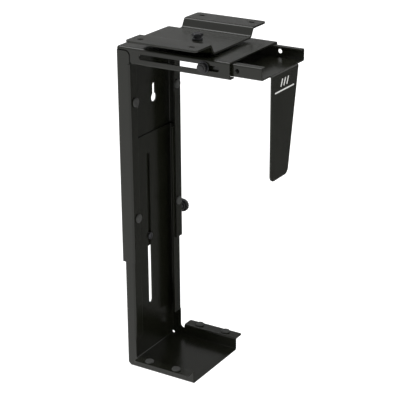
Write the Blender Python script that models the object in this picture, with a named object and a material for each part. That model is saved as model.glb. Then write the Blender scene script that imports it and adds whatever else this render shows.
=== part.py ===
"""Under-desk computer holder: a desk plate, a swivelling L bracket, a lower bracket
that slides up and down it, and a side clamp that slides in and out of its arm.

Sizes are in millimetres in the bracket's own frame: x runs out along the arm from the
upright's outer face, y runs back from the front edge, z is up from the arm's top face.
The origin of the part is on the swivel axis, in the plane of the desk plate's flanges.
"""
import math

import bmesh
import bpy

MM = 0.001

# The swivel axis and the underside of the desk, in the bracket's frame
PIVOT_X, PIVOT_Y, DESK_Z = 83.5, 60.0, 16.4

# Folded sheet
SHEET = 2.0
BEND = 3.0
BEND_STEPS = 4
BEND_RELIEF = 0.6
CORNER = 4.0
WIDTH = 120.0
GAP = 0.2

# Outer bracket
ARM_END = 165.5
ARM_DEPTH = 21.8
ARM_LIP = 11.0
UPRIGHT_END = -295.5
UPRIGHT_DEPTH = 20.3
UPRIGHT_LIP = 15.4
ARM_SLOT_X = (34.8, 151.0)
ARM_SLOT_Z = -10.5
ARM_SLOT_WIDTH = 7.0
KEYHOLE_Y = (39.0, 81.0)
KEYHOLE_Z = -88.5
# The seam between the upright's flange and the arm's, which turns a rounded corner
TURN_IN = 4.4
SEAM_TOP = -3.6
SEAM_GAP = 1.7
SEAM_ROUND = 6.0
UPRIGHT_EDGE = 19.8

# Lower bracket
PLAY = 0.7
LOWER_WEB = 2.5
LOWER_DEPTH = 17.7
LOWER_LIP = 16.4
LOWER_TOP = -134.0
LOWER_LIP_END = -410.0
SHELF_BOTTOM = -452.2
SHELF_LIP_TOP = -433.4
SHELF_LIP = 15.2
SHELF_END = 108.7
SHELF_LIP_START = 23.7
SHELF_ROUND = 2.5
LOWER_SLOT_Z = (-380.0, -160.0)
LOWER_SLOT_WIDTH = 8.0
CORNER_RELIEF = 0.5

# Side clamp
CLAMP_X = (123.0, 206.6)
CLAMP_INSET = 5.2
CLAMP_BEND = 2.5
CLAMP_BOTTOM = -18.4
CLAMP_TOP = -2.3
CLAMP_LIP = 9.0
CLAMP_HOLE_X = 173.0
TONGUE_X = 208.0
TONGUE_Y = (24.7, 93.6)
TONGUE_END = -153.0
TONGUE_TIP_BACK = 71.0
TONGUE_ROUND = 9.0

# Desk plate
PLATE_SHEET = 2.5
PLATE_HALF_X = 51.6
PLATE_TOP = 5.1
PLATE_HALF_Y = 86.0
PLATE_FOOT = 44.7
PLATE_HEAD = 51.2
PLATE_HOLE = (37.1, 72.4)

# Fasteners and pads
BOLT_HOLE = 4.3
GUIDE_Z = -279.5
HEIGHT_KNOB_X, HEIGHT_KNOB_Z = 10.6, -259.0
HEIGHT_KNOB_OUT = 11.0
WIDTH_KNOB_X = 129.0
WIDTH_KNOB_OUT = 2.0
SCREW_RADIUS = 2.8
SCREW_HOLE = 3.2
PAD_RADIUS = 6.0
UPRIGHT_PADS = ((10.8, -74.5), (109.2, -74.5), (10.8, -234.0), (109.2, -241.0))
SHELF_PADS = (5.0, 44.0, 86.5)
CLAMP_PADS = (50.0, -70.0, -125.0)

for old in list(bpy.data.objects):
    bpy.data.objects.remove(old, do_unlink=True)


def world(point):
    """A point of the bracket's frame in mm, as a point of the part in metres."""
    x, y, z = point
    return ((x - PIVOT_X) * MM, (y - PIVOT_Y) * MM, (z - DESK_Z) * MM)


def material(name, colour, metallic, roughness):
    made = bpy.data.materials.new(name)
    made.use_nodes = True
    shader = made.node_tree.nodes["Principled BSDF"]
    shader.inputs["Base Color"].default_value = (*colour, 1.0)
    shader.inputs["Metallic"].default_value = metallic
    shader.inputs["Roughness"].default_value = roughness
    made.diffuse_color = (*colour, 1.0)
    return made


STEEL = material("black_powder_coat", (0.035, 0.035, 0.034), 0.3, 0.5)
PAD = material("grey_pad", (0.12, 0.12, 0.12), 0.0, 0.85)
KNOB = material("black_plastic", (0.02, 0.02, 0.02), 0.0, 0.45)
FASTENER = material("black_zinc", (0.05, 0.05, 0.055), 0.8, 0.4)


def finish(name, mesh, paint, axis_point=None):
    """Make a mesh that is in bracket millimetres into a node with its own origin."""
    home = world(axis_point) if axis_point else (0.0, 0.0, 0.0)
    for vert in mesh.verts:
        at = world(vert.co)
        vert.co = tuple(at[i] - home[i] for i in range(3))
    data = bpy.data.meshes.new(name)
    mesh.to_mesh(data)
    mesh.free()
    data.materials.append(paint)
    node = bpy.data.objects.new(name, data)
    node.location = home
    bpy.context.scene.collection.objects.link(node)
    return node


# ---------------------------------------------------------------- solids of revolution
def turned(name, rings, axis, centre, paint, sides=24, moving=False):
    """Stack rings of (radius, height) about an axis; a radius of 0 closes an end.

    Rings that come back down inside the first ones make a bore.
    """
    mesh = bmesh.new()
    place = {
        "x": lambda r, h, a: (centre[0] + h, centre[1] + r * math.cos(a), centre[2] + r * math.sin(a)),
        "y": lambda r, h, a: (centre[0] + r * math.cos(a), centre[1] + h, centre[2] + r * math.sin(a)),
        "z": lambda r, h, a: (centre[0] + r * math.cos(a), centre[1] + r * math.sin(a), centre[2] + h),
    }[axis]
    loops = []
    for radius, height in rings:
        if radius == 0:
            loops.append([mesh.verts.new(place(0.0, height, 0.0))])
        else:
            loops.append([
                mesh.verts.new(place(radius, height, 2 * math.pi * (i + 0.5) / sides))
                for i in range(sides)
            ])
    closed = rings[0][0] != 0
    pairs = list(zip(loops, loops[1:] + loops[:1])) if closed else list(zip(loops, loops[1:]))
    for low, high in pairs:
        for i in range(sides):
            j = (i + 1) % sides
            if len(low) == 1:
                mesh.faces.new((low[0], high[i], high[j]))
            elif len(high) == 1:
                mesh.faces.new((low[i], high[0], low[j]))
            else:
                mesh.faces.new((low[i], high[i], high[j], low[j]))
    bmesh.ops.recalc_face_normals(mesh, faces=mesh.faces[:])
    return finish(name, mesh, paint, centre if moving else None)


def nut(name, inner, flats, low, high, axis, centre):
    """A hexagon nut, flats across, with a round bore."""
    mesh = bmesh.new()
    loops = []
    for height in (low, high):
        for bored in (False, True):
            loop = []
            for i in range(24):
                angle = math.pi * i / 12
                off = (i % 4) * math.pi / 12 - math.pi / 6
                radius = inner if bored else flats / 2 / math.cos(off)
                a, b = radius * math.cos(angle), radius * math.sin(angle)
                at = {"x": (height, a, b), "y": (a, height, b), "z": (a, b, height)}[axis]
                loop.append(mesh.verts.new([c + d for c, d in zip(centre, at)]))
            loops.append(loop)
    low_out, low_in, high_out, high_in = loops
    for first, second in ((low_out, high_out), (high_out, high_in), (high_in, low_in),
                          (low_in, low_out)):
        for i in range(24):
            j = (i + 1) % 24
            mesh.faces.new((first[i], first[j], second[j], second[i]))
    bmesh.ops.recalc_face_normals(mesh, faces=mesh.faces[:])
    return finish(name, mesh, FASTENER)


def ring(name, inner, outer, low, high, axis, centre, paint, sides=24, moving=False):
    rings = [(outer, low), (outer, high), (inner, high), (inner, low)]
    return turned(name, rings, axis, centre, paint, sides, moving)


# ---------------------------------------------------------------- prisms and cutters
def prism_into(mesh, outline, axis, low, high):
    """Extrude a 2-D outline along an axis; the outline's pair skips that axis."""
    def at(a, b, h):
        return {"x": (h, a, b), "y": (a, h, b), "z": (a, b, h)}[axis]
    bottom = [mesh.verts.new(at(a, b, low)) for a, b in outline]
    top = [mesh.verts.new(at(a, b, high)) for a, b in outline]
    faces = [mesh.faces.new(bottom), mesh.faces.new(top)]
    for i in range(len(outline)):
        j = (i + 1) % len(outline)
        faces.append(mesh.faces.new((bottom[i], bottom[j], top[j], top[i])))
    bmesh.ops.recalc_face_normals(mesh, faces=faces)


def circle(a, b, radius, sides=20):
    return [
        (a + radius * math.cos(2 * math.pi * (i + 0.5) / sides),
         b + radius * math.sin(2 * math.pi * (i + 0.5) / sides))
        for i in range(sides)
    ]


def stadium(a0, b0, a1, b1, radius, steps=8):
    """A slot outline whose end centres are (a0, b0) and (a1, b1)."""
    turn = math.atan2(b1 - b0, a1 - a0)
    points = []
    for (a, b), start in (((a1, b1), turn - math.pi / 2), ((a0, b0), turn + math.pi / 2)):
        for i in range(steps + 1):
            angle = start + math.pi * i / steps
            points.append((a + radius * math.cos(angle), b + radius * math.sin(angle)))
    return points


def corner_cut(a, b, da, db, radius, steps=5):
    """What rounding removes from the corner (a, b) of a plate lying towards (da, db)."""
    ca, cb = a + da * radius, b + db * radius
    points = [(a - da, cb), (a - da, b - db), (ca, b - db)]
    for i in range(steps + 1):
        angle = math.pi / 2 * i / steps
        points.append((ca - da * radius * math.sin(angle), cb - db * radius * math.cos(angle)))
    return points


def cut(node, cutters):
    """Take prisms, given as (outline, axis, low, high), out of a node."""
    mesh = bmesh.new()
    for outline, axis, low, high in cutters:
        prism_into(mesh, outline, axis, low, high)
    tool = finish(node.name + "_cutter", mesh, STEEL)
    tool.hide_render = True
    tool.display_type = "WIRE"
    carve = node.modifiers.new("holes", "BOOLEAN")
    carve.operation = "DIFFERENCE"
    carve.solver = "EXACT"
    carve.object = tool


# ---------------------------------------------------------------- folded sheet
def arc(centre, start, end, steps=BEND_STEPS):
    """Points of a quarter turn between two offsets from its centre."""
    return [
        tuple(c + s * math.cos(t) + e * math.sin(t) for c, s, e in zip(centre, start, end))
        for t in (math.pi / 2 * i / steps for i in range(steps + 1))
    ]


class Skin:
    """The outer face of a folded sheet, gathered from faces that share their edges."""

    def __init__(self):
        self.mesh = bmesh.new()
        self.known = {}

    def vert(self, point):
        key = tuple(round(c, 3) for c in point)
        if key not in self.known:
            self.known[key] = self.mesh.verts.new(point)
        return self.known[key]

    def face(self, points):
        self.mesh.faces.new([self.vert(p) for p in points])

    def strip(self, first, second):
        """Quads between two rows of points."""
        for i in range(len(first) - 1):
            self.face((first[i], first[i + 1], second[i + 1], second[i]))

    def sheet(self, name, probe, outward, thickness):
        """Thicken away from outward, the way the face nearest to probe looks."""
        mesh = self.mesh
        bmesh.ops.recalc_face_normals(mesh, faces=mesh.faces[:])
        near = min(mesh.faces, key=lambda f: sum((a - b) ** 2 for a, b in
                                                 zip(f.calc_center_median(), probe)))
        if sum(a * b for a, b in zip(near.normal, outward)) < 0:
            bmesh.ops.reverse_faces(mesh, faces=mesh.faces[:])
        node = finish(name, mesh, STEEL)
        thick = node.modifiers.new("sheet", "SOLIDIFY")
        thick.thickness = thickness * MM
        thick.offset = -1.0
        thick.use_even_offset = True
        return node


def sides():
    """The front and back of the bracket, as (edge y, direction inwards)."""
    return ((0.0, 1.0), (WIDTH, -1.0))


def outer_bracket():
    skin = Skin()
    inner_y = (BEND, WIDTH - BEND)
    seam = SEAM_TOP - SEAM_GAP
    turn_x = UPRIGHT_EDGE - SEAM_ROUND
    turn_z = seam - SEAM_ROUND
    arm_start = UPRIGHT_EDGE + SEAM_GAP
    # Web: down the upright, round the corner, out along the arm
    spine = [(0.0, UPRIGHT_END), (0.0, seam), (0.0, -TURN_IN)]
    spine += [(x, z) for x, _, z in arc((CORNER, 0, -CORNER), (-CORNER, 0, 0), (0, 0, CORNER))]
    spine += [(TURN_IN, 0.0), (ARM_END, 0.0)]
    rows = [[(x, y, z) for x, z in spine] for y in inner_y]
    skin.strip(rows[0], rows[1])
    for edge, way in sides():
        # Upright: bend, a flange that runs up to the seam, and an inward lip below the arm
        lip_turn = UPRIGHT_DEPTH - BEND
        lip_top = -ARM_DEPTH - 0.5
        bare_end = lip_top + BEND_RELIEF
        web_bend = arc((BEND, edge + way * BEND, 0), (-BEND, 0, 0), (0, -way * BEND, 0))
        skin.strip([(x, y, UPRIGHT_END) for x, y, _ in web_bend], [(x, y, seam) for x, y, _ in web_bend])
        flange = [(BEND, UPRIGHT_END), (BEND, seam)]
        flange += [(x, z) for x, _, z in arc((turn_x, 0, turn_z), (0, 0, SEAM_ROUND), (SEAM_ROUND, 0, 0))]
        flange += [(UPRIGHT_EDGE, bare_end), (lip_turn, bare_end), (lip_turn, lip_top),
                   (lip_turn, UPRIGHT_END)]
        skin.face([(x, edge, z) for x, z in flange])
        lip_bend = arc((lip_turn, edge + way * BEND, 0), (0, -way * BEND, 0), (BEND, 0, 0))
        lip = lip_bend + [(UPRIGHT_DEPTH, edge + way * UPRIGHT_LIP, 0)]
        skin.strip([(x, y, UPRIGHT_END) for x, y, _ in lip], [(x, y, lip_top) for x, y, _ in lip])
        # Arm: bend, a flange that follows the seam, bend and inward lip
        top_bend = arc((0, edge + way * BEND, -BEND), (0, 0, BEND), (0, -way * BEND, 0))
        skin.strip([(TURN_IN, y, z) for _, y, z in top_bend], [(ARM_END, y, z) for _, y, z in top_bend])
        lip_x = arm_start + 6.0
        low = -ARM_DEPTH + BEND
        foot = -ARM_DEPTH + BEND_RELIEF
        round_arm = SEAM_ROUND + SEAM_GAP
        flange = [(TURN_IN, -BEND), (ARM_END, -BEND), (ARM_END, low), (lip_x, low), (lip_x, foot)]
        flange += [(x, z) for x, _, z in arc((arm_start + 4.0, 0, foot + 4.0), (0, 0, -4.0), (-4.0, 0, 0))]
        flange += [(x, z) for x, _, z in arc((turn_x, 0, turn_z), (round_arm, 0, 0), (0, 0, round_arm))]
        flange += [(TURN_IN, SEAM_TOP)]
        skin.face([(x, edge, z) for x, z in flange])
        low_bend = arc((0, edge + way * BEND, low), (0, -way * BEND, 0), (0, 0, -BEND))
        low_path = low_bend + [(0, edge + way * ARM_LIP, -ARM_DEPTH)]
        skin.strip([(lip_x, y, z) for _, y, z in low_path], [(ARM_END, y, z) for _, y, z in low_path])
    node = skin.sheet("outer_bracket", (90, 60, 0), (0, 0, 1), SHEET)
    slot = ARM_SLOT_WIDTH / 2
    cutters = [
        (stadium(ARM_SLOT_X[0] + slot, ARM_SLOT_Z, ARM_SLOT_X[1] - slot, ARM_SLOT_Z, slot),
         "y", -1.0, 4.0),
        (circle(PIVOT_X, PIVOT_Y, BOLT_HOLE), "z", -4.0, 1.0),
        (circle(PIVOT_Y, GUIDE_Z, 3.8), "x", -1.0, 4.0),
        (circle(HEIGHT_KNOB_X, HEIGHT_KNOB_Z, SCREW_HOLE), "y", WIDTH - 4.0, WIDTH + 1.0),
    ]
    for y in KEYHOLE_Y:
        cutters.append((keyhole(y, KEYHOLE_Z), "x", -1.0, 4.0))
    cut(node, cutters)
    return node


def keyhole(y, z):
    """A hanging hole: a round entry with a narrow slot above it."""
    big, small, rise = 6.0, 3.0, 17.0
    angle = math.asin(small / big)
    steps = 14
    points = []
    for i in range(steps + 1):
        t = math.pi / 2 + angle + (2 * math.pi - 2 * angle) * i / steps
        points.append((y + big * math.cos(t), z + big * math.sin(t)))
    for i in range(7):
        t = math.pi * i / 6
        points.append((y + small * math.cos(t), z + rise + small * math.sin(t)))
    return points


def lower_bracket():
    skin = Skin()
    front, back = SHEET + PLAY, WIDTH - SHEET - PLAY
    web, base = LOWER_WEB, SHELF_BOTTOM
    inner_y = (front + BEND, back - BEND)
    web_foot = base + CORNER + CORNER_RELIEF
    base_start = web + CORNER + CORNER_RELIEF
    spine = [(web, LOWER_TOP), (web, web_foot)]
    turned_in = arc((web + CORNER, 0, base + CORNER), (-CORNER, 0, 0), (0, 0, -CORNER))
    spine += [(x, z) for x, _, z in turned_in]
    spine += [(base_start, base), (SHELF_END, base)]
    rows = [[(x, y, z) for x, z in spine] for y in inner_y]
    skin.strip(rows[0], rows[1])
    turn = BEND - SHEET
    riser_top = SHELF_LIP_TOP - BEND
    for edge, way in ((front, 1.0), (back, -1.0)):
        bend_x = web + BEND
        lip_x = LOWER_DEPTH - BEND
        web_bend = arc((bend_x, edge + way * BEND, 0), (-BEND, 0, 0), (0, -way * BEND, 0))
        skin.strip([(x, y, LOWER_TOP) for x, y, _ in web_bend],
                   [(x, y, web_foot) for x, y, _ in web_bend])
        base_bend = arc((0, edge + way * BEND, base + BEND), (0, 0, -BEND), (0, -way * BEND, 0))
        skin.strip([(base_start, y, z) for _, y, z in base_bend],
                   [(SHELF_END, y, z) for _, y, z in base_bend])
        # Upright lips, down to where the shelf begins
        lip_bend = arc((lip_x, edge + way * BEND, 0), (0, -way * BEND, 0), (BEND, 0, 0))
        lip = lip_bend + [(LOWER_DEPTH, edge + way * LOWER_LIP, 0)]
        skin.strip([(x, y, LOWER_TOP) for x, y, _ in lip], [(x, y, LOWER_LIP_END) for x, y, _ in lip])
        # Shelf lips, folded outwards
        out_bend = arc((0, edge - way * turn, riser_top), (0, way * turn, 0), (0, 0, turn))
        out = out_bend + [(0, edge - way * SHELF_LIP, SHELF_LIP_TOP - SHEET)]
        skin.strip([(SHELF_LIP_START, y, z) for _, y, z in out], [(SHELF_END, y, z) for _, y, z in out])
        # The side is one flat piece from the upright into the shelf
        notch = 5.0
        foot = riser_top - 3.0
        fillet = [
            (LOWER_DEPTH - 0.4 + notch - notch * math.cos(t), foot + notch - notch * math.sin(t))
            for t in (math.pi / 2 * i / 4 for i in range(5))
        ]
        side = [(bend_x, LOWER_TOP), (bend_x, web_foot), (base_start, base + BEND),
                (SHELF_END, base + BEND), (SHELF_END, riser_top), (SHELF_LIP_START, riser_top),
                (SHELF_LIP_START, foot)]
        side += list(reversed(fillet))
        side += [(LOWER_DEPTH - 0.4, LOWER_LIP_END), (lip_x, LOWER_LIP_END), (lip_x, LOWER_TOP)]
        skin.face([(x, edge, z) for x, z in side])
    node = skin.sheet("lower_bracket", (web, 60, -300), (-1, 0, 0), SHEET)
    slot = LOWER_SLOT_WIDTH / 2
    low, high = LOWER_SLOT_Z
    cutters = [(stadium(PIVOT_Y, low + slot, PIVOT_Y, high - slot, slot), "x", 1.0, 6.0)]
    lip_front, lip_back = front - SHELF_LIP, back + SHELF_LIP
    for x, dx in ((SHELF_LIP_START, 1), (SHELF_END, -1)):
        for y, dy in ((lip_front, 1), (lip_back, -1)):
            outline = corner_cut(x, y, dx, dy, SHELF_ROUND)
            cutters.append((outline, "z", SHELF_LIP_TOP - 4.0, SHELF_LIP_TOP + 1.0))
    cut(node, cutters)
    return node


def side_clamp():
    skin = Skin()
    front, back = CLAMP_INSET, WIDTH - CLAMP_INSET
    x0, x1 = CLAMP_X
    bottom, top = CLAMP_BOTTOM, CLAMP_TOP
    bend = CLAMP_BEND
    turn = bend - SHEET
    tongue = TONGUE_Y
    ys = (front + bend, tongue[0], tongue[1], back - bend)
    for y0, y1 in zip(ys, ys[1:]):
        skin.face(((x0, y0, bottom), (x1, y0, bottom), (x1, y1, bottom), (x0, y1, bottom)))
    for edge, way in ((front, 1.0), (back, -1.0)):
        low_bend = arc((0, edge + way * bend, bottom + bend), (0, 0, -bend), (0, -way * bend, 0))
        top_bend = arc((0, edge + way * bend, top - bend), (0, -way * bend, 0), (0, 0, bend))
        path = low_bend + top_bend + [(0, edge + way * CLAMP_LIP, top)]
        skin.strip([(x0, y, z) for _, y, z in path], [(x1, y, z) for _, y, z in path])
    # The tongue bends down from the middle of the web
    knee = [(x, z) for x, _, z in arc((TONGUE_X - turn, 0, bottom - turn), (0, 0, turn), (turn, 0, 0))]
    knee = [(x1, bottom)] + knee
    rows = [[(x, y, z) for x, z in knee] for y in tongue]
    skin.strip(rows[0], rows[1])
    start = bottom - turn
    radius = TONGUE_ROUND
    outline = [(tongue[0], start)]
    for i in range(7):
        t = math.pi / 2 * i / 6
        outline.append((tongue[0] + radius - radius * math.cos(t),
                        TONGUE_END + radius - radius * math.sin(t)))
    for i in range(7):
        t = math.pi / 2 * i / 6
        outline.append((TONGUE_TIP_BACK - radius + radius * math.sin(t),
                        TONGUE_END + radius - radius * math.cos(t)))
    outline.append((tongue[1], start))
    skin.face([(TONGUE_X, y, z) for y, z in outline])
    node = skin.sheet("side_clamp", (150, 60, bottom), (0, 0, -1), SHEET)
    cutters = [(circle(WIDTH_KNOB_X, ARM_SLOT_Z, SCREW_HOLE), "y", front - 1.0, front + 3.0)]
    for low, high in ((front - 1.0, front + 3.0), (back - 3.0, back + 1.0)):
        cutters.append((circle(CLAMP_HOLE_X, ARM_SLOT_Z, 2.9), "y", low, high))
    cut(node, cutters)
    return node


def desk_plate():
    """Hat section: two flanges that screw to the desk, and a sunk middle for the swivel."""
    skin = Skin()
    half = [(0.0, PLATE_TOP), (PLATE_FOOT - 2.0, PLATE_TOP), (PLATE_FOOT + 0.3, PLATE_TOP + 0.6),
            (PLATE_FOOT + 1.4, PLATE_TOP + 2.2), (PLATE_HEAD - 1.4, DESK_Z - 2.2),
            (PLATE_HEAD - 0.3, DESK_Z - 0.6), (PLATE_HEAD + 2.0, DESK_Z), (PLATE_HALF_Y, DESK_Z)]
    path = [(PIVOT_Y - y, z) for y, z in reversed(half)] + [(PIVOT_Y + y, z) for y, z in half[1:]]
    xs = (PIVOT_X - PLATE_HALF_X, PIVOT_X + PLATE_HALF_X)
    skin.strip([(xs[0], y, z) for y, z in path], [(xs[1], y, z) for y, z in path])
    node = skin.sheet("desk_plate", (PIVOT_X, 20, PLATE_TOP), (0, 0, 1), PLATE_SHEET)
    cutters = [(circle(PIVOT_X, PIVOT_Y, BOLT_HOLE), "z", PLATE_TOP - 5.0, PLATE_TOP + 1.0)]
    hole_x, hole_y = PLATE_HOLE
    for sx in (-1, 1):
        for sy in (-1, 1):
            x, y = PIVOT_X + sx * hole_x, PIVOT_Y + sy * hole_y
            cutters.append((stadium(x - 1.5, y, x + 1.5, y, 2.8), "z", DESK_Z - 5.0, DESK_Z + 1.0))
            outline = corner_cut(PIVOT_X + sx * PLATE_HALF_X, PIVOT_Y + sy * PLATE_HALF_Y, -sx, -sy, 5.0)
            cutters.append((outline, "z", DESK_Z - 5.0, DESK_Z + 1.0))
    cut(node, cutters)
    return node


# ---------------------------------------------------------------- fasteners and pads
def knob(prefix, way, out, edge, centre, radius, tall, bore_end):
    """A thumb knob about y, whose head stands out from edge in direction way."""
    bore = SCREW_RADIUS + 0.15
    shape = ((0.0, 0.62), (0.25, 1.0), (0.62, 1.0), (0.77, 0.86), (0.8, 0.66), (0.97, 0.61))
    cap = [(0.0, way * bore_end), (bore, way * bore_end), (bore, 0.0)]
    cap += [(radius * r, way * tall * h) for h, r in shape]
    cap += [(0.0, way * tall)]
    at = (centre[0], edge + way * out, centre[1])
    turned(prefix + "_knob_cap", cap, "y", at, KNOB, 24, moving=True)
    return at


def knob_screw(prefix, way, at, tip, bore_end):
    stem = [(0.0, way * tip), (SCREW_RADIUS - 0.5, way * tip), (SCREW_RADIUS, way * (tip + 0.6)),
            (SCREW_RADIUS, way * (bore_end - GAP)), (0.0, way * (bore_end - GAP))]
    turned(prefix + "_knob_screw", stem, "y", at, FASTENER, 20, moving=True)


def pad(name, axis, centre, way):
    rings = [(0.0, GAP), (PAD_RADIUS, GAP), (PAD_RADIUS, 2.0), (PAD_RADIUS - 0.5, 2.6), (0.0, 2.6)]
    turned(name, [(r, way * h) for r, h in rings], axis, centre, PAD, 24)


outer_bracket()
lower_bracket()
side_clamp()
desk_plate()

pivot = (PIVOT_X, PIVOT_Y, 0.0)
neck, head, crown = PLATE_TOP + 2.6, PLATE_TOP + 4.6, PLATE_TOP + 8.4
turned("pivot_bolt", [(0.0, -11.6), (3.5, -11.6), (4.0, -11.0), (4.0, neck - 0.2), (5.6, neck),
                      (5.6, head - 0.2), (7.2, head), (7.2, crown - 0.8), (6.4, crown), (0.0, crown)],
       "z", pivot, FASTENER, 24)
ring("pivot_collar", BOLT_HOLE, 7.0, PLATE_TOP + GAP, neck - 0.4, "z", pivot, FASTENER)
ring("pivot_spacer", BOLT_HOLE, 16.0, GAP, PLATE_TOP - PLATE_SHEET - GAP, "z", pivot, STEEL, 32)
ring("pivot_under_washer", BOLT_HOLE, 9.0, -SHEET - GAP - 1.6, -SHEET - GAP, "z", pivot, FASTENER)
nut("pivot_lock_nut", 4.2, 13.0, -10.0, -4.0, "z", pivot)

guide = (0.0, PIVOT_Y, GUIDE_Z)
turned("guide_stud", [(0.0, 0.1), (3.6, 0.1), (3.6, 7.0), (3.2, 7.5), (0.0, 7.5)],
       "x", guide, FASTENER, 20)
nut("guide_nut", 3.8, 9.0, 4.7, 6.9, "x", guide)

for number, (y, z) in enumerate(UPRIGHT_PADS, 1):
    pad("upright_pad_%d" % number, "x", (UPRIGHT_DEPTH, y, z), 1)
inset, near, far = SHELF_PADS
for number, (x, y) in enumerate(((near, -inset), (far, -inset), (near, WIDTH + inset),
                                 (far, WIDTH + inset)), 1):
    pad("shelf_pad_%d" % number, "z", (x, y, SHELF_LIP_TOP), 1)
for number, z in enumerate(CLAMP_PADS[1:], 1):
    pad("clamp_pad_%d" % number, "x", (TONGUE_X, CLAMP_PADS[0], z), -1)

nut("height_weld_nut", 3.0, 11.0, GAP, 3.4, "y", (HEIGHT_KNOB_X, WIDTH, HEIGHT_KNOB_Z))
place = knob("height", 1.0, HEIGHT_KNOB_OUT, WIDTH, (HEIGHT_KNOB_X, HEIGHT_KNOB_Z), 9.5, 9.6, 6.0)
knob_screw("height", 1.0, place, -HEIGHT_KNOB_OUT - SHEET - 0.3, 6.0)

width_nut = CLAMP_INSET + SHEET + 0.3
nut("width_weld_nut", 3.0, 9.0, width_nut, width_nut + 4.0, "y", (WIDTH_KNOB_X, 0.0, ARM_SLOT_Z))
ring("width_knob_washer", SCREW_HOLE, 8.0, -1.7, -GAP, "y", (WIDTH_KNOB_X, 0.0, ARM_SLOT_Z), FASTENER,
     24, moving=True)
place = knob("width", -1.0, WIDTH_KNOB_OUT, 0.0, (WIDTH_KNOB_X, ARM_SLOT_Z), 6.5, 5.6, 4.2)
knob_screw("width", -1.0, place, -WIDTH_KNOB_OUT - width_nut - 4.5, 4.2)
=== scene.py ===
"""The looks of an under-desk computer holder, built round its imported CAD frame.

Sizes are in millimetres in the bracket's own frame: x runs out along the arm from the
upright's outer face, y runs back from the front edge, z is up from the arm's top face.
Places come from the CAD nodes' boxes. Each folded sheet, fastener, knob and pad is a
finer mesh that stands for its CAD node. The stripe on the tongue is the only added piece.
"""
import math

import bmesh
import bpy
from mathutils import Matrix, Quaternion, Vector

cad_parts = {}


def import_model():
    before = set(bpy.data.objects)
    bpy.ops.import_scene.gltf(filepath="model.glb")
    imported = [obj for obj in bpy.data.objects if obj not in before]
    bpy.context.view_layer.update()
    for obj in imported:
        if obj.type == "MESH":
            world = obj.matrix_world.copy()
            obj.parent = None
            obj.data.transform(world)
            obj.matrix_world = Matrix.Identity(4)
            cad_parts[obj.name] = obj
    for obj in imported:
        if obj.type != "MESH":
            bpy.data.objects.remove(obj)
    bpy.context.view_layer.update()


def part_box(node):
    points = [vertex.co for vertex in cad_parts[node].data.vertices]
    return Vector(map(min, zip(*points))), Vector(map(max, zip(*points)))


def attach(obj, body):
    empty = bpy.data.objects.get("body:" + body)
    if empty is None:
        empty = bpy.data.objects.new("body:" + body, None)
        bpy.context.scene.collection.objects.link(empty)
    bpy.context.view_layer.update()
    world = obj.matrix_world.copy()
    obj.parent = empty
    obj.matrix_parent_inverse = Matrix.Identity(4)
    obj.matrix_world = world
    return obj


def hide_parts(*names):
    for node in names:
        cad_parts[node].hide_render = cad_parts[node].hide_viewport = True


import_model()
MM = 0.001

# ------------------------------------------------------------------ places from the frame
ARM_LOW, ARM_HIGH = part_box("outer_bracket")
ORIGIN = Vector((ARM_LOW.x, ARM_LOW.y, ARM_HIGH.z))


def local_box(node):
    """A CAD node's lowest and highest corners in the bracket's millimetres."""
    low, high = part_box(node)
    return (low - ORIGIN) / MM, (high - ORIGIN) / MM


def centre_of(node):
    """The middle of a CAD node's box in the bracket's millimetres."""
    low, high = local_box(node)
    return (low + high) / 2


def round_node(node, axis):
    """A turned node's axis index, centre, half its length and its radius."""
    low, high = local_box(node)
    along = "xyz".index(axis)
    across = (along + 1) % 3
    return along, (low + high) / 2, (high[along] - low[along]) / 2, (high[across] - low[across]) / 2


def world(point):
    """A point in the bracket's millimetres, as a point of the scene in metres."""
    return Vector(point) * MM + ORIGIN


OUTER_LOW, OUTER_HIGH = local_box("outer_bracket")
LOWER_LOW, LOWER_HIGH = local_box("lower_bracket")
CLAMP_LOW, CLAMP_HIGH = local_box("side_clamp")
PLATE_LOW, PLATE_HIGH = local_box("desk_plate")
PIVOT = centre_of("pivot_bolt")
GUIDE = centre_of("guide_stud")
HEIGHT_KNOB = centre_of("height_knob_cap")
WIDTH_KNOB = centre_of("width_knob_cap")

# ------------------------------------------------------------------ folded sheet sizes
SHEET = 2.0
BEND = 3.0
BEND_STEPS = 9
BEND_RELIEF = 0.6
CORNER = 4.0
EDGE = 0.28
SHARP_ANGLE = math.radians(40)
# How far a cutter stands clear of the sheet outside it, and how deep it reaches in
CUT_CLEAR = 1.0
CUT_DEPTH = 4.0
WIDTH = OUTER_HIGH.y

ARM_END = OUTER_HIGH.x
ARM_DEPTH = 21.8
ARM_LIP = 11.0
ARM_LIP_START = 6.0
ARM_FOOT_ROUND = 4.0
UPRIGHT_END = OUTER_LOW.z
UPRIGHT_DEPTH = 20.3
UPRIGHT_LIP = 15.4
LIP_BELOW_ARM = 0.5
ARM_SLOT_X = (34.8, 151.0)
ARM_SLOT_WIDTH = 7.0
KEYHOLE_Y = (39.0, 81.0)
KEYHOLE_Z = -88.5
KEYHOLE_RADIUS = 6.0
KEYHOLE_NECK = 3.0
KEYHOLE_RISE = 17.0
# The seam between the upright's flange and the arm's, which turns a rounded corner
TURN_IN = 4.4
SEAM_TOP = -3.6
SEAM_GAP = 1.7
SEAM_ROUND = 6.0
UPRIGHT_EDGE = 19.8

PLAY = 0.7
LOWER_WEB = LOWER_LOW.x
LOWER_DEPTH = 17.7
LOWER_LIP = 16.4
LOWER_TOP = LOWER_HIGH.z
LOWER_LIP_END = -410.0
SHELF_BOTTOM = LOWER_LOW.z
SHELF_LIP_TOP = -433.4
SHELF_LIP = 15.2
SHELF_END = LOWER_HIGH.x
SHELF_LIP_START = 23.7
SHELF_ROUND = 2.5
LOWER_SLOT_Z = (-380.0, -160.0)
LOWER_SLOT_WIDTH = 8.0
CORNER_RELIEF = 0.5
# The side's step from the upright's lip down into the shelf's riser
STEP_FILLET = 5.0
STEP_DROP = 3.0
STEP_INSET = 0.4

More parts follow.
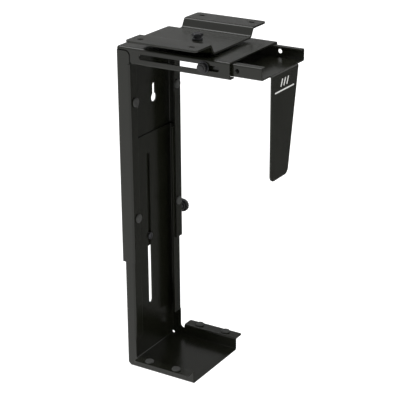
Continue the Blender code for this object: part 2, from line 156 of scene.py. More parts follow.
CLAMP_X = (CLAMP_LOW.x, 206.6)
CLAMP_BEND = 2.5
CLAMP_BOTTOM = -18.4
CLAMP_TOP = CLAMP_HIGH.z
CLAMP_LIP = 9.0
CLAMP_HOLE_X = 173.0
CLAMP_HOLE = 2.9
CLAMP_CUT = 3.0
TONGUE_X = CLAMP_HIGH.x - SHEET
TONGUE_Y = (24.7, 93.6)
TONGUE_END = CLAMP_LOW.z
TONGUE_TIP_BACK = 71.0
TONGUE_ROUND = 9.0
TONGUE_STEPS = 12

# The stripe printed on the tongue and the three slanting bars over it
STRIPE_Y = (33.5, 81.0)
STRIPE_Z = -40.0
STRIPE_RADIUS = 0.9
BAR_COUNT = 3
BAR_Y = 48.0
BAR_STEP = 7.5
BAR_SLANT = 3.5
BAR_Z = (-34.0, -26.5)
BAR_RADIUS = 1.2
INK_GAP = 0.02
INK_THICK = 0.12

PLATE_SHEET = 2.5
PLATE_TOP = PLATE_LOW.z + PLATE_SHEET
DESK_Z = PLATE_HIGH.z
PLATE_FOOT = 44.7
PLATE_HEAD = 51.2
PLATE_BEND = 4.0
PLATE_ROUND = 5.0
PLATE_CUT = 5.0
PLATE_HOLE = (37.1, 72.4)
PLATE_HOLE_HALF = 1.5
PLATE_HOLE_RADIUS = 2.8

BOLT_HOLE = 4.3
BOLT_FLATS = 13.0
BOLT_NUT_BORE = 4.2
GUIDE_HOLE = 3.8
SCREW_HOLE = 3.2
SCREW_RADIUS = 2.8
SCREW_NUT_BORE = 3.0
SMALL_FLATS = 9.0
HEIGHT_NUT_FLATS = 11.0
HEIGHT_KNOB_BORE = 6.0
WIDTH_KNOB_BORE = 4.2


# ------------------------------------------------------------------ materials
class Nodes:
    """A short way to add and link shader nodes."""

    def __init__(self, name):
        self.material = bpy.data.materials.new(name)
        self.material.use_nodes = True
        self.tree = self.material.node_tree
        self.shader = self.tree.nodes["Principled BSDF"]
        self.place = self.tree.nodes.new("ShaderNodeTexCoord").outputs["Object"]

    def link(self, out, into):
        """Join an output socket to an input socket."""
        self.tree.links.new(out, into)

    def noise(self, size_mm, detail=3.0, stretch=(1.0, 1.0, 1.0)):
        """Noise in object space whose features are about size_mm across."""
        mapping = self.tree.nodes.new("ShaderNodeMapping")
        mapping.inputs["Scale"].default_value = stretch
        self.link(self.place, mapping.inputs["Vector"])
        made = self.tree.nodes.new("ShaderNodeTexNoise")
        made.inputs["Scale"].default_value = 1.0 / (size_mm * MM)
        made.inputs["Detail"].default_value = detail
        self.link(mapping.outputs["Vector"], made.inputs["Vector"])
        return made.outputs["Fac"]

    def ramp(self, value, low, high, first, last):
        """Map value from low..high to the greys or colours first..last."""
        made = self.tree.nodes.new("ShaderNodeValToRGB")
        made.color_ramp.elements[0].position = low
        made.color_ramp.elements[1].position = high
        made.color_ramp.elements[0].color = self.colour(first)
        made.color_ramp.elements[1].color = self.colour(last)
        self.link(value, made.inputs["Fac"])
        return made.outputs["Color"]

    @staticmethod
    def colour(value):
        """A grey or a colour as a socket's four numbers."""
        return (*value, 1.0) if isinstance(value, tuple) else (value, value, value, 1.0)

    def bump(self, height, strength, depth_mm, under=None):
        """A bumped normal, laid over the one given as under."""
        made = self.tree.nodes.new("ShaderNodeBump")
        made.inputs["Strength"].default_value = strength
        made.inputs["Distance"].default_value = depth_mm * MM
        self.link(height, made.inputs["Height"])
        if under is not None:
            self.link(under, made.inputs["Normal"])
        return made.outputs["Normal"]

    def finish(self, colour, roughness, normal, metallic=0.0, specular=0.5):
        """Join the maps to the shader and return the finished material."""
        self.link(colour, self.shader.inputs["Base Color"])
        self.link(roughness, self.shader.inputs["Roughness"])
        self.link(normal, self.shader.inputs["Normal"])
        self.shader.inputs["Metallic"].default_value = metallic
        self.shader.inputs["Specular IOR Level"].default_value = specular
        return self.material


def powder_coat():
    """Black powder coat: a fine grain over orange peel, with broad cloudy changes of gloss."""
    m = Nodes("black_powder_coat")
    peel = m.noise(0.55, 2.0)
    grain = m.noise(0.16, 2.0)
    cloud = m.noise(45.0, 3.0)
    normal = m.bump(grain, 0.06, 0.02, m.bump(peel, 0.10, 0.05))
    colour = m.ramp(cloud, 0.3, 0.7, (0.0065, 0.0071, 0.0042), (0.0090, 0.0095, 0.0064))
    rough = m.ramp(cloud, 0.3, 0.7, 0.19, 0.24)
    return m.finish(colour, rough, normal, specular=0.33)


def edge_highlight_and_wear():
    """Painted edge highlight, together with the thinner coat along cut edges: a little paler and
    smoother, in patches.
    """
    m = Nodes("powder_coat_edge_highlight_and_wear")
    patch = m.noise(3.0, 4.0)
    normal = m.bump(m.noise(0.3, 2.0), 0.12, 0.04)
    colour = m.ramp(patch, 0.35, 0.75, (0.007, 0.0074, 0.0048), (0.016, 0.0163, 0.0135))
    rough = m.ramp(patch, 0.35, 0.75, 0.36, 0.28)
    return m.finish(colour, rough, normal, specular=0.33)


def pad_rubber():
    """Dark grey rubber: a sandy grain over shallow dimples."""
    m = Nodes("grey_pad_rubber")
    grain = m.noise(0.35, 4.0)
    spots = m.noise(2.5, 3.0)
    normal = m.bump(grain, 0.5, 0.08, m.bump(spots, 0.2, 0.15))
    colour = m.ramp(spots, 0.3, 0.7, (0.036, 0.037, 0.035), (0.052, 0.053, 0.050))
    rough = m.ramp(grain, 0.3, 0.7, 0.62, 0.8)
    return m.finish(colour, rough, normal, specular=0.25)


def knob_plastic():
    """Black moulded plastic with a faint sanded texture."""
    m = Nodes("black_moulded_plastic")
    sand = m.noise(0.25, 3.0)
    flow = m.noise(6.0, 2.0)
    normal = m.bump(sand, 0.22, 0.04)
    colour = m.ramp(flow, 0.3, 0.7, (0.004, 0.004, 0.0043), (0.007, 0.007, 0.0075))
    rough = m.ramp(flow, 0.3, 0.7, 0.22, 0.32)
    return m.finish(colour, rough, normal, specular=0.4)


def black_zinc():
    """Dark plated steel, patchy in shade and gloss."""
    m = Nodes("black_zinc_plating")
    turning = m.noise(0.5, 3.0, (1.0, 1.0, 6.0))
    tarnish = m.noise(4.0, 4.0)
    normal = m.bump(turning, 0.15, 0.03)
    colour = m.ramp(tarnish, 0.3, 0.7, (0.038, 0.039, 0.042), (0.065, 0.065, 0.069))
    rough = m.ramp(tarnish, 0.3, 0.7, 0.30, 0.46)
    return m.finish(colour, rough, normal, metallic=0.9)


def stripe_ink():
    """Pale printed ink, slightly worn."""
    m = Nodes("pale_stripe_ink")
    wear = m.noise(0.8, 4.0)
    normal = m.bump(wear, 0.1, 0.02)
    colour = m.ramp(wear, 0.25, 0.6, (0.62, 0.62, 0.60), (0.80, 0.80, 0.78))
    rough = m.ramp(wear, 0.3, 0.7, 0.5, 0.6)
    return m.finish(colour, rough, normal)


COAT, EDGE_HIGHLIGHT_AND_WEAR = powder_coat(), edge_highlight_and_wear()
RUBBER, PLASTIC, ZINC, INK = pad_rubber(), knob_plastic(), black_zinc(), stripe_ink()


# ------------------------------------------------------------------ making objects
def make(name, mesh, materials):
    """An object from a bmesh in the bracket's millimetres."""
    for vert in mesh.verts:
        vert.co = world(vert.co)
    data = bpy.data.meshes.new(name)
    mesh.to_mesh(data)
    mesh.free()
    for paint in materials:
        data.materials.append(paint)
    made = bpy.data.objects.new(name, data)
    bpy.context.scene.collection.objects.link(made)
    return made


def apply_modifiers(made):
    """Put what the modifiers make into the object's own mesh."""
    graph = bpy.context.evaluated_depsgraph_get()
    data = bpy.data.meshes.new_from_object(made.evaluated_get(graph))
    made.modifiers.clear()
    made.data = data


def smooth(made, angle=SHARP_ANGLE):
    """Smooth shading that keeps creases over the angle sharp."""
    made.data.shade_smooth()
    made.data.set_sharp_from_angle(angle=angle)
    made.modifiers.new("normals", "WEIGHTED_NORMAL").keep_sharp = True
    apply_modifiers(made)


def stand_for(made, node, body):
    """Ride the piece on its body in place of the CAD node."""
    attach(made, body)
    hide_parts(node)
    return made


# ------------------------------------------------------------------ outlines and cutters
def circle(a, b, radius, sides=48):
    """A round outline centred on (a, b)."""
    return [
        (a + radius * math.cos(2 * math.pi * (i + 0.5) / sides),
         b + radius * math.sin(2 * math.pi * (i + 0.5) / sides))
        for i in range(sides)
    ]


def stadium(a0, b0, a1, b1, radius, steps=14):
    """A slot outline whose end centres are (a0, b0) and (a1, b1)."""
    turn = math.atan2(b1 - b0, a1 - a0)
    points = []
    for (a, b), start in (((a1, b1), turn - math.pi / 2), ((a0, b0), turn + math.pi / 2)):
        for i in range(steps + 1):
            angle = start + math.pi * i / steps
            points.append((a + radius * math.cos(angle), b + radius * math.sin(angle)))
    return points


def corner_cut(a, b, da, db, radius, steps=10):
    """What rounding removes from the corner (a, b) of a plate lying towards (da, db)."""
    ca, cb = a + da * radius, b + db * radius
    points = [(a - da, cb), (a - da, b - db), (ca, b - db)]
    for i in range(steps + 1):
        angle = math.pi / 2 * i / steps
        points.append((ca - da * radius * math.sin(angle), cb - db * radius * math.cos(angle)))
    return points


def keyhole(y, z):
    """A hanging hole: a round entry with a narrow slot above it."""
    big, small, rise = KEYHOLE_RADIUS, KEYHOLE_NECK, KEYHOLE_RISE
    angle = math.asin(small / big)
    points = []
    round_steps, neck_steps = 36, 16
    for i in range(round_steps + 1):
        t = math.pi / 2 + angle + (2 * math.pi - 2 * angle) * i / round_steps
        points.append((y + big * math.cos(t), z + big * math.sin(t)))
    for i in range(neck_steps + 1):
        t = math.pi * i / neck_steps
        points.append((y + small * math.cos(t), z + rise + small * math.sin(t)))
    return points


def prism_into(mesh, outline, axis, low, high):
    """Extrude a 2-D outline along an axis; the outline's pair skips that axis."""
    def at(a, b, h):
        return {"x": (h, a, b), "y": (a, h, b), "z": (a, b, h)}[axis]
    bottom = [mesh.verts.new(at(a, b, low)) for a, b in outline]
    top = [mesh.verts.new(at(a, b, high)) for a, b in outline]
    faces = [mesh.faces.new(bottom), mesh.faces.new(top)]
    for i in range(len(outline)):
        j = (i + 1) % len(outline)
        faces.append(mesh.faces.new((bottom[i], bottom[j], top[j], top[i])))
    bmesh.ops.recalc_face_normals(mesh, faces=faces)


# ------------------------------------------------------------------ folded sheet
def arc(centre, start, end, steps=BEND_STEPS):
    """Points of a quarter turn between two offsets from its centre."""
    return [
        tuple(c + s * math.cos(t) + e * math.sin(t) for c, s, e in zip(centre, start, end))
        for t in (math.pi / 2 * i / steps for i in range(steps + 1))
    ]


class Skin:
    """The outer face of a folded sheet, gathered from faces that share their edges."""

    def __init__(self):
        self.mesh = bmesh.new()
        self.known = {}

    def vert(self, point):
        """The vertex at a point, shared by every face that meets there."""
        key = tuple(round(c, 2) for c in point)
        if key not in self.known:
            self.known[key] = self.mesh.verts.new(point)
        return self.known[key]

    def face(self, points):
        """One flat face from a closed row of points."""
        self.mesh.faces.new([self.vert(p) for p in points])

    def strip(self, first, second):
        """Quads between two rows of points."""
        for i in range(len(first) - 1):
            self.face((first[i], first[i + 1], second[i + 1], second[i]))

    def sheet(self, name, probe, outward, thickness, cutters):
        """Thicken away from outward, cut the holes, and soften every cut edge."""
        mesh = self.mesh
        bmesh.ops.recalc_face_normals(mesh, faces=mesh.faces[:])
        near = min(mesh.faces, key=lambda f: (f.calc_center_median() - Vector(probe)).length)
        if near.normal.dot(Vector(outward)) < 0:
            bmesh.ops.reverse_faces(mesh, faces=mesh.faces[:])
        made = make(name, mesh, (COAT, EDGE_HIGHLIGHT_AND_WEAR))
        thick = made.modifiers.new("sheet", "SOLIDIFY")
        thick.thickness = thickness * MM
        thick.offset = -1.0
        thick.use_even_offset = True
        apply_modifiers(made)
        holes = bmesh.new()
        for outline, axis, low, high in cutters:
            prism_into(holes, outline, axis, low, high)
        tool = make(name + "_cutter", holes, (EDGE_HIGHLIGHT_AND_WEAR,))
        carve = made.modifiers.new("holes", "BOOLEAN")
        carve.operation = "DIFFERENCE"
        carve.solver = "EXACT"
        carve.object = tool
        apply_modifiers(made)
        bpy.data.objects.remove(tool, do_unlink=True)
        bevel = made.modifiers.new("edges", "BEVEL")
        bevel.width = EDGE * MM
        bevel.segments = 2
        bevel.limit_method = "ANGLE"
        bevel.angle_limit = SHARP_ANGLE
        # The bevels take the paler edge coat: a painted edge highlight, together with thin-coat wear.
        bevel.material = made.data.materials.find(EDGE_HIGHLIGHT_AND_WEAR.name)
        apply_modifiers(made)
        smooth(made)
        return made


def at_z(path, z):
    """A path's x and y, moved to one height."""
    return [(x, y, z) for x, y, _ in path]


def at_x(path, x):
    """A path's y and z, moved to one x."""
    return [(x, y, z) for _, y, z in path]


def side_view(path):
    """A path's x and z."""
    return [(x, z) for x, _, z in path]


def outer_bracket():
    """One sheet: a channel down the upright and out along the arm, with inward lips."""
    skin = Skin()
    inner_y = (BEND, WIDTH - BEND)
    seam = SEAM_TOP - SEAM_GAP
    seam_centre = (UPRIGHT_EDGE - SEAM_ROUND, 0, seam - SEAM_ROUND)
    arm_start = UPRIGHT_EDGE + SEAM_GAP
    # Web: up the upright, round the corner, out along the arm
    spine = [(0.0, UPRIGHT_END), (0.0, seam), (0.0, -TURN_IN)]
    spine += side_view(arc((CORNER, 0, -CORNER), (-CORNER, 0, 0), (0, 0, CORNER)))
    spine += [(TURN_IN, 0.0), (ARM_END, 0.0)]
    rows = [[(x, y, z) for x, z in spine] for y in inner_y]
    skin.strip(rows[0], rows[1])
    # Upright: where its lip turns in, and how far up the lip and the bare flange reach
    lip_turn = UPRIGHT_DEPTH - BEND
    lip_top = -ARM_DEPTH - LIP_BELOW_ARM
    bare_end = lip_top + BEND_RELIEF
    # Arm: where its lip starts and turns in, and the curves of its edge along the seam
    lip_x = arm_start + ARM_LIP_START
    low = -ARM_DEPTH + BEND
    foot = -ARM_DEPTH + BEND_RELIEF
    round_arm = SEAM_ROUND + SEAM_GAP
    foot_centre = (arm_start + ARM_FOOT_ROUND, 0, foot + ARM_FOOT_ROUND)
    for edge, way in ((0.0, 1.0), (WIDTH, -1.0)):
        # Upright: bend, a flange that runs up to the seam, and an inward lip below the arm
        web_bend = arc((BEND, edge + way * BEND, 0), (-BEND, 0, 0), (0, -way * BEND, 0))
        skin.strip(at_z(web_bend, UPRIGHT_END), at_z(web_bend, seam))
        flange = [(BEND, UPRIGHT_END), (BEND, seam)]
        flange += side_view(arc(seam_centre, (0, 0, SEAM_ROUND), (SEAM_ROUND, 0, 0)))
        flange += [(UPRIGHT_EDGE, bare_end), (lip_turn, bare_end), (lip_turn, lip_top),
                   (lip_turn, UPRIGHT_END)]
        skin.face([(x, edge, z) for x, z in flange])
        lip_bend = arc((lip_turn, edge + way * BEND, 0), (0, -way * BEND, 0), (BEND, 0, 0))
        lip = lip_bend + [(UPRIGHT_DEPTH, edge + way * UPRIGHT_LIP, 0)]
        skin.strip(at_z(lip, UPRIGHT_END), at_z(lip, lip_top))
        # Arm: bend, a flange that follows the seam, bend and inward lip
        top_bend = arc((0, edge + way * BEND, -BEND), (0, 0, BEND), (0, -way * BEND, 0))
        skin.strip(at_x(top_bend, TURN_IN), at_x(top_bend, ARM_END))
        flange = [(TURN_IN, -BEND), (ARM_END, -BEND), (ARM_END, low), (lip_x, low), (lip_x, foot)]
        flange += side_view(arc(foot_centre, (0, 0, -ARM_FOOT_ROUND), (-ARM_FOOT_ROUND, 0, 0)))
        flange += side_view(arc(seam_centre, (round_arm, 0, 0), (0, 0, round_arm)))
        flange += [(TURN_IN, SEAM_TOP)]
        skin.face([(x, edge, z) for x, z in flange])
        low_bend = arc((0, edge + way * BEND, low), (0, -way * BEND, 0), (0, 0, -BEND))
        low_path = low_bend + [(0, edge + way * ARM_LIP, -ARM_DEPTH)]
        skin.strip(at_x(low_path, lip_x), at_x(low_path, ARM_END))
    slot = ARM_SLOT_WIDTH / 2
    slot_z = WIDTH_KNOB.z
    arm_slot = stadium(ARM_SLOT_X[0] + slot, slot_z, ARM_SLOT_X[1] - slot, slot_z, slot)
    knob_hole = circle(HEIGHT_KNOB.x, HEIGHT_KNOB.z, SCREW_HOLE)
    cutters = [
        (arm_slot, "y", -CUT_CLEAR, CUT_DEPTH),
        (circle(PIVOT.x, PIVOT.y, BOLT_HOLE), "z", -CUT_DEPTH, CUT_CLEAR),
        (circle(GUIDE.y, GUIDE.z, GUIDE_HOLE), "x", -CUT_CLEAR, CUT_DEPTH),
        (knob_hole, "y", WIDTH - CUT_DEPTH, WIDTH + CUT_CLEAR),
    ]
    for y in KEYHOLE_Y:
        cutters.append((keyhole(y, KEYHOLE_Z), "x", -CUT_CLEAR, CUT_DEPTH))
    made = skin.sheet("outer_bracket_sheet", (PIVOT.x, PIVOT.y, 0), (0, 0, 1), SHEET, cutters)
    return stand_for(made, "outer_bracket", "swivel_frame")


def lower_bracket():
    """One sheet: a channel that slides in the upright, and the shelf with outward lips."""
    skin = Skin()
    front, back = SHEET + PLAY, WIDTH - SHEET - PLAY
    web, base = LOWER_WEB, SHELF_BOTTOM
    inner_y = (front + BEND, back - BEND)
    web_foot = base + CORNER + CORNER_RELIEF
    base_start = web + CORNER + CORNER_RELIEF
    turned_in = arc((web + CORNER, 0, base + CORNER), (-CORNER, 0, 0), (0, 0, -CORNER))
    spine = [(web, LOWER_TOP), (web, web_foot)]
    spine += side_view(turned_in)
    spine += [(base_start, base), (SHELF_END, base)]
    rows = [[(x, y, z) for x, z in spine] for y in inner_y]
    skin.strip(rows[0], rows[1])
    turn = BEND - SHEET
    riser_top = SHELF_LIP_TOP - BEND
    bend_x = web + BEND
    lip_x = LOWER_DEPTH - BEND
    # The step's fillet, from the riser back up to the side of the upright
    foot = riser_top - STEP_DROP
    bare = LOWER_DEPTH - STEP_INSET
    centre = (bare + STEP_FILLET, 0, foot + STEP_FILLET)
    fillet = side_view(arc(centre, (-STEP_FILLET, 0, 0), (0, 0, -STEP_FILLET)))
    for edge, way in ((front, 1.0), (back, -1.0)):
        web_bend = arc((bend_x, edge + way * BEND, 0), (-BEND, 0, 0), (0, -way * BEND, 0))
        skin.strip(at_z(web_bend, LOWER_TOP), at_z(web_bend, web_foot))
        base_bend = arc((0, edge + way * BEND, base + BEND), (0, 0, -BEND), (0, -way * BEND, 0))
        skin.strip(at_x(base_bend, base_start), at_x(base_bend, SHELF_END))
        # Upright lips, down to where the shelf begins
        lip_bend = arc((lip_x, edge + way * BEND, 0), (0, -way * BEND, 0), (BEND, 0, 0))
        lip = lip_bend + [(LOWER_DEPTH, edge + way * LOWER_LIP, 0)]
        skin.strip(at_z(lip, LOWER_TOP), at_z(lip, LOWER_LIP_END))
        # Shelf lips, folded outwards
        out_bend = arc((0, edge - way * turn, riser_top), (0, way * turn, 0), (0, 0, turn))
        out = out_bend + [(0, edge - way * SHELF_LIP, SHELF_LIP_TOP - SHEET)]
        skin.strip(at_x(out, SHELF_LIP_START), at_x(out, SHELF_END))
        # The side is one flat piece from the upright into the shelf
        side = [(bend_x, LOWER_TOP), (bend_x, web_foot), (base_start, base + BEND),
                (SHELF_END, base + BEND), (SHELF_END, riser_top), (SHELF_LIP_START, riser_top),
                (SHELF_LIP_START, foot)]
        side += fillet[::-1]
        side += [(bare, LOWER_LIP_END), (lip_x, LOWER_LIP_END), (lip_x, LOWER_TOP)]
        skin.face([(x, edge, z) for x, z in side])
    slot = LOWER_SLOT_WIDTH / 2
    low, high = LOWER_SLOT_Z
    guide_slot = stadium(PIVOT.y, low + slot, PIVOT.y, high - slot, slot)
    cutters = [(guide_slot, "x", web - CUT_CLEAR, web + CUT_DEPTH)]
    for x, dx in ((SHELF_LIP_START, 1), (SHELF_END, -1)):
        for y, dy in ((front - SHELF_LIP, 1), (back + SHELF_LIP, -1)):
            outline = corner_cut(x, y, dx, dy, SHELF_ROUND)
            cutters.append((outline, "z", SHELF_LIP_TOP - CUT_DEPTH, SHELF_LIP_TOP + CUT_CLEAR))
    made = skin.sheet("lower_bracket_sheet", (web, PIVOT.y, GUIDE.z), (-1, 0, 0), SHEET, cutters)
    return stand_for(made, "lower_bracket", "lower_frame")


def side_clamp():
    """One sheet: a channel that slides in the arm, and a tongue beside the computer."""
    skin = Skin()
    front, back = CLAMP_LOW.y, CLAMP_HIGH.y
    x0, x1 = CLAMP_X
    bottom, top = CLAMP_BOTTOM, CLAMP_TOP
    bend = CLAMP_BEND
    turn = bend - SHEET
    tongue = TONGUE_Y
    ys = (front + bend, tongue[0], tongue[1], back - bend)
    for y0, y1 in zip(ys, ys[1:]):
        skin.face(((x0, y0, bottom), (x1, y0, bottom), (x1, y1, bottom), (x0, y1, bottom)))
    for edge, way in ((front, 1.0), (back, -1.0)):
        low_bend = arc((0, edge + way * bend, bottom + bend), (0, 0, -bend), (0, -way * bend, 0))
        top_bend = arc((0, edge + way * bend, top - bend), (0, -way * bend, 0), (0, 0, bend))
        path = low_bend + top_bend + [(0, edge + way * CLAMP_LIP, top)]
        skin.strip(at_x(path, x0), at_x(path, x1))
    # The tongue bends down from the middle of the web
    start = bottom - turn
    knee = [(x1, bottom)] + side_view(arc((TONGUE_X - turn, 0, start), (0, 0, turn), (turn, 0, 0)))
    rows = [[(x, y, z) for x, z in knee] for y in tongue]
    skin.strip(rows[0], rows[1])
    radius, steps = TONGUE_ROUND, TONGUE_STEPS
    tip = TONGUE_END + radius
    outline = [(TONGUE_X, tongue[0], start)]
    outline += arc((TONGUE_X, tongue[0] + radius, tip), (0, -radius, 0), (0, 0, -radius), steps)
    outline += arc((TONGUE_X, TONGUE_TIP_BACK - radius, tip), (0, 0, -radius), (0, radius, 0), steps)
    outline.append((TONGUE_X, tongue[1], start))
    skin.face(outline)
    slot_z = WIDTH_KNOB.z
    front_cut = (front - CUT_CLEAR, front + CLAMP_CUT)
    back_cut = (back - CLAMP_CUT, back + CUT_CLEAR)
    cutters = [(circle(WIDTH_KNOB.x, slot_z, SCREW_HOLE), "y", *front_cut)]
    for low, high in (front_cut, back_cut):
        cutters.append((circle(CLAMP_HOLE_X, slot_z, CLAMP_HOLE), "y", low, high))
    middle = ((x0 + x1) / 2, PIVOT.y, bottom)
    made = skin.sheet("side_clamp_sheet", middle, (0, 0, -1), SHEET, cutters)
    return stand_for(made, "side_clamp", "clamp_arm")


def soft_path(corners, radius, steps=8):
    """A 2-D path whose inner corners are rounded off."""
    path = [corners[0]]
    for before, here, after in zip(corners, corners[1:], corners[2:]):
        a, b, c = (Vector(p) for p in (before, here, after))
        into, out = (a - b).normalized(), (c - b).normalized()
        half = into.angle(out) / 2
        reach = radius / math.tan(half)
        middle = b + (into + out).normalized() * (radius / math.sin(half))
        first, last = b + into * reach - middle, b + out * reach - middle
        sweep = first.angle(last)
        for i in range(steps + 1):
            t = i / steps
            mix = (first * math.sin((1 - t) * sweep) + last * math.sin(t * sweep)) / math.sin(sweep)
            path.append(tuple(middle + mix))
    return path + [corners[-1]]


def desk_plate():
    """Hat section: two flanges that screw to the desk, and a sunk middle for the swivel."""
    skin = Skin()
    y0, y1 = PLATE_LOW.y, PLATE_HIGH.y
    corners = [(y0, DESK_Z), (PIVOT.y - PLATE_HEAD, DESK_Z), (PIVOT.y - PLATE_FOOT, PLATE_TOP),
               (PIVOT.y + PLATE_FOOT, PLATE_TOP), (PIVOT.y + PLATE_HEAD, DESK_Z), (y1, DESK_Z)]
    path = soft_path(corners, PLATE_BEND)
    xs = (PLATE_LOW.x, PLATE_HIGH.x)
    skin.strip([(xs[0], y, z) for y, z in path], [(xs[1], y, z) for y, z in path])
    bolt_hole = circle(PIVOT.x, PIVOT.y, BOLT_HOLE)
    cutters = [(bolt_hole, "z", PLATE_TOP - PLATE_CUT, PLATE_TOP + CUT_CLEAR)]
    flange_cut = (DESK_Z - PLATE_CUT, DESK_Z + CUT_CLEAR)
    half_x, half_y = (xs[1] - xs[0]) / 2, (y1 - y0) / 2
    for sx in (-1, 1):
        for sy in (-1, 1):
            x, y = PIVOT.x + sx * PLATE_HOLE[0], PIVOT.y + sy * PLATE_HOLE[1]
            slot = stadium(x - PLATE_HOLE_HALF, y, x + PLATE_HOLE_HALF, y, PLATE_HOLE_RADIUS)
            cutters.append((slot, "z", *flange_cut))
            corner = corner_cut(PIVOT.x + sx * half_x, PIVOT.y + sy * half_y, -sx, -sy, PLATE_ROUND)
            cutters.append((corner, "z", *flange_cut))
    middle = (PIVOT.x, PIVOT.y, PLATE_TOP)
    made = skin.sheet("desk_plate_sheet", middle, (0, 0, 1), PLATE_SHEET, cutters)
    return stand_for(made, "desk_plate", "desk_bracket")


# ------------------------------------------------------------------ turned pieces
TURNED_SHARP_ANGLE = math.radians(35)
RING_SIDES = 56
HEX_SIDES = 72
THREAD_SIDES = 40
PAD_SIDES = 48
KNOB_SIDES = 144


def turned(name, rings, axis, centre, paint, sides, bored=False):
    """Stack rings of (radius, height) about an axis; a radius may be a function of the angle.

    A radius of 0 closes an end, and bored joins the last ring back to the first.
    """
    mesh = bmesh.new()
    x, y, z = centre
    place = {
        "x": lambda r, h, a: (x + h, y + r * math.cos(a), z + r * math.sin(a)),
        "y": lambda r, h, a: (x + r * math.cos(a), y + h, z + r * math.sin(a)),
        "z": lambda r, h, a: (x + r * math.cos(a), y + r * math.sin(a), z + h),
    }[axis]
    loops = []
    for radius, height in rings:
        if radius == 0:
            loops.append([mesh.verts.new(place(0.0, height, 0.0))])
            continue
        loop = []
        for i in range(sides):
            angle = 2 * math.pi * i / sides
            reach = radius(angle) if callable(radius) else radius
            loop.append(mesh.verts.new(place(reach, height, angle)))
        loops.append(loop)
    pairs = list(zip(loops, loops[1:]))
    if bored:
        pairs.append((loops[-1], loops[0]))
    for low, high in pairs:
        for i in range(sides):
            j = (i + 1) % sides
            if len(low) == 1:
                mesh.faces.new((low[0], high[i], high[j]))
            elif len(high) == 1:
                mesh.faces.new((low[i], high[0], low[j]))
            else:
                mesh.faces.new((low[i], high[i], high[j], low[j]))
    bmesh.ops.recalc_face_normals(mesh, faces=mesh.faces[:])
    made = make(name, mesh, (paint,))
    smooth(made, TURNED_SHARP_ANGLE)
    return made


def hex_corner(flats):
    """A hexagon's greatest radius."""
    return flats / 2 / math.cos(math.pi / 6)


def hexagon(flats, most=math.inf):
    """The radius of a hexagon at an angle, turned down to at most a round radius."""
    def reach(angle):
        off = (angle + math.pi / 6) % (math.pi / 3) - math.pi / 6
        return min(flats / 2 / math.cos(off), most)
    return reach


def threaded(radius, depth, pitch, low, high, per_turn=8):
    """Rings of a screw thread between two heights, per_turn of them to each pitch."""
    rings = []
    count = max(2, int((high - low) / pitch * per_turn))
    for i in range(count + 1):
        height = low + (high - low) * i / count

        def reach(angle, height=height):
            phase = (height / pitch - angle / (2 * math.pi)) % 1.0
            return radius - depth * abs(2 * phase - 1)
        rings.append((reach, height))
    return rings


def washer(name, node, body, inner, axis, paint=ZINC):
    """A flat ring with softened rims, in the box of its CAD node."""
    _, centre, half, outer = round_node(node, axis)
    soft = 0.25
    rings = [(outer - soft, -half), (outer, -half + soft), (outer, half - soft), (outer - soft, half),
             (inner + soft, half), (inner, half - soft), (inner, -half + soft), (inner + soft, -half)]
    made = turned(name, rings, axis, centre, paint, RING_SIDES, bored=True)
    return stand_for(made, node, body)


def hex_nut(name, node, body, inner, flats, axis):
    """A nut whose corners are turned down at both faces."""
    _, centre, half, _ = round_node(node, axis)
    corner = hex_corner(flats)
    round_top = flats / 2 - 0.2
    fall = (corner - round_top) * math.tan(math.radians(30))
    steps = 5
    soft = 0.5
    chamfer = []
    for i in range(steps + 1):
        t = i / steps
        chamfer.append((hexagon(flats, round_top + (corner - round_top) * t), -half + fall * t))
    rings = chamfer + [(reach, -height) for reach, height in chamfer[::-1]]
    rings += [(inner + soft, half), (inner, half - soft), (inner, -half + soft), (inner + soft, -half)]
    made = turned(name, rings, axis, centre, ZINC, HEX_SIDES, bored=True)
    return stand_for(made, node, body)


def pivot_bolt():
    """A hexagon head over a round collar, on a shank threaded at its lower end."""
    low, high = local_box("pivot_bolt")
    shank, collar = 4.0, 5.4
    bottom, top = low.z, high.z
    thread_start, thread_end = bottom + 0.8, bottom + 9.0
    collar_bottom, head_bottom = top - 6.0, top - 4.0
    corner = hex_corner(BOLT_FLATS)
    rings = [(0, bottom), (shank - 0.9, bottom), (shank - 0.1, thread_start)]
    rings += threaded(shank, 0.55, 1.25, thread_start, thread_end)
    rings += [(shank, thread_end + 0.4), (shank, collar_bottom)]
    rings += [(collar, collar_bottom + 0.2), (collar, head_bottom)]
    rings += [(hexagon(BOLT_FLATS, corner - 0.4), head_bottom + 0.2), (hexagon(BOLT_FLATS), top - 3.4)]
    # The head's corners are turned down towards a shallow dish in its top
    steps = 5
    for i in range(steps + 1):
        t = i / steps
        rings.append((hexagon(BOLT_FLATS, corner - 1.3 * t), top - 1.0 + 0.75 * t))
    rings += [(corner - 1.9, top - 0.12), (corner - 2.4, top - 0.05)]
    rings += [(3.4, top), (3.2, top - 0.25), (0, top - 0.3)]
    made = turned("pivot_bolt_turned", rings, "z", (PIVOT.x, PIVOT.y, 0.0), ZINC, HEX_SIDES)
    return stand_for(made, "pivot_bolt", "desk_bracket")


def guide_stud():
    """A stud that is plain through both sheets and threaded beyond them."""
    low, high = local_box("guide_stud")
    stud, plain_end = 3.6, 4.2
    rings = [(0, low.x), (stud - 0.4, low.x), (stud, low.x + 0.3), (stud, plain_end)]
    rings += threaded(stud, 0.5, 1.0, plain_end + 0.2, high.x - 0.6)
    rings += [(stud - 0.6, high.x - 0.3), (stud - 1.0, high.x), (0, high.x)]
    made = turned("guide_stud_turned", rings, "x", (0.0, GUIDE.y, GUIDE.z), ZINC, THREAD_SIDES)
    return stand_for(made, "guide_stud", "swivel_frame")


